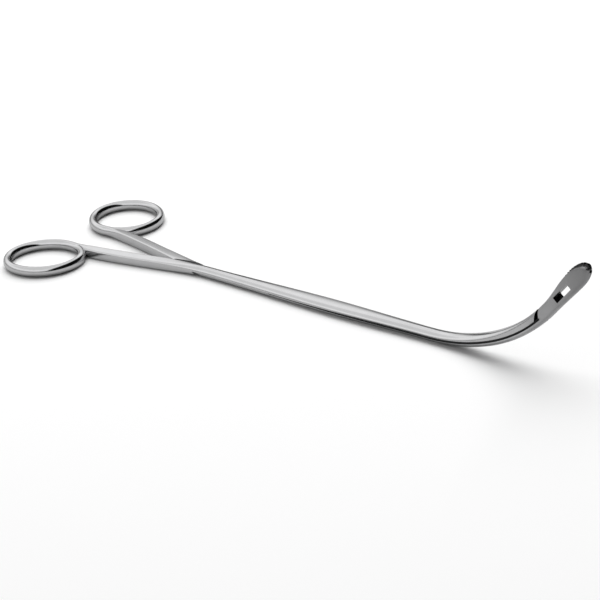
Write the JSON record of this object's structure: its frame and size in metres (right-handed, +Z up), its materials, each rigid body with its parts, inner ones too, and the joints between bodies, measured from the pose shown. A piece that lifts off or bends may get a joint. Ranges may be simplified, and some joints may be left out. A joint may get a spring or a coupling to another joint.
{
  "type": "kidney stone forceps",
  "caption": "Long slim crossing forceps with oval finger rings, a flat straight shaft that turns on a joint screw, and an upward bend ending in serrated, windowed jaws.",
  "frame": {"origin": "on the pivot axis, in the plane of the underside that the closed forceps lie on", "axes": "+X along the shaft towards the jaws, +Y across it to the left seen from the rings, +Z up, the way that the jaws bend"},
  "size_m": [0.2286, 0.06, 0.0354],
  "materials": {
    "polished_steel": "polished stainless steel, satin on the jaws",
    "screw_steel": "polished stainless steel"
  },
  "bodies": {
    "lower": {"lower_half": "polished_steel"},
    "upper": {"upper_half": "polished_steel", "joint_screw": "screw_steel"}
  },
  "joints": [
    {"name": "jaw_pivot", "type": "hinge", "parent": "lower", "child": "upper", "pos_m": [0, 0, 0.00153], "axis": [0, 0, 1], "range_deg": [0, 30]}
  ]
}
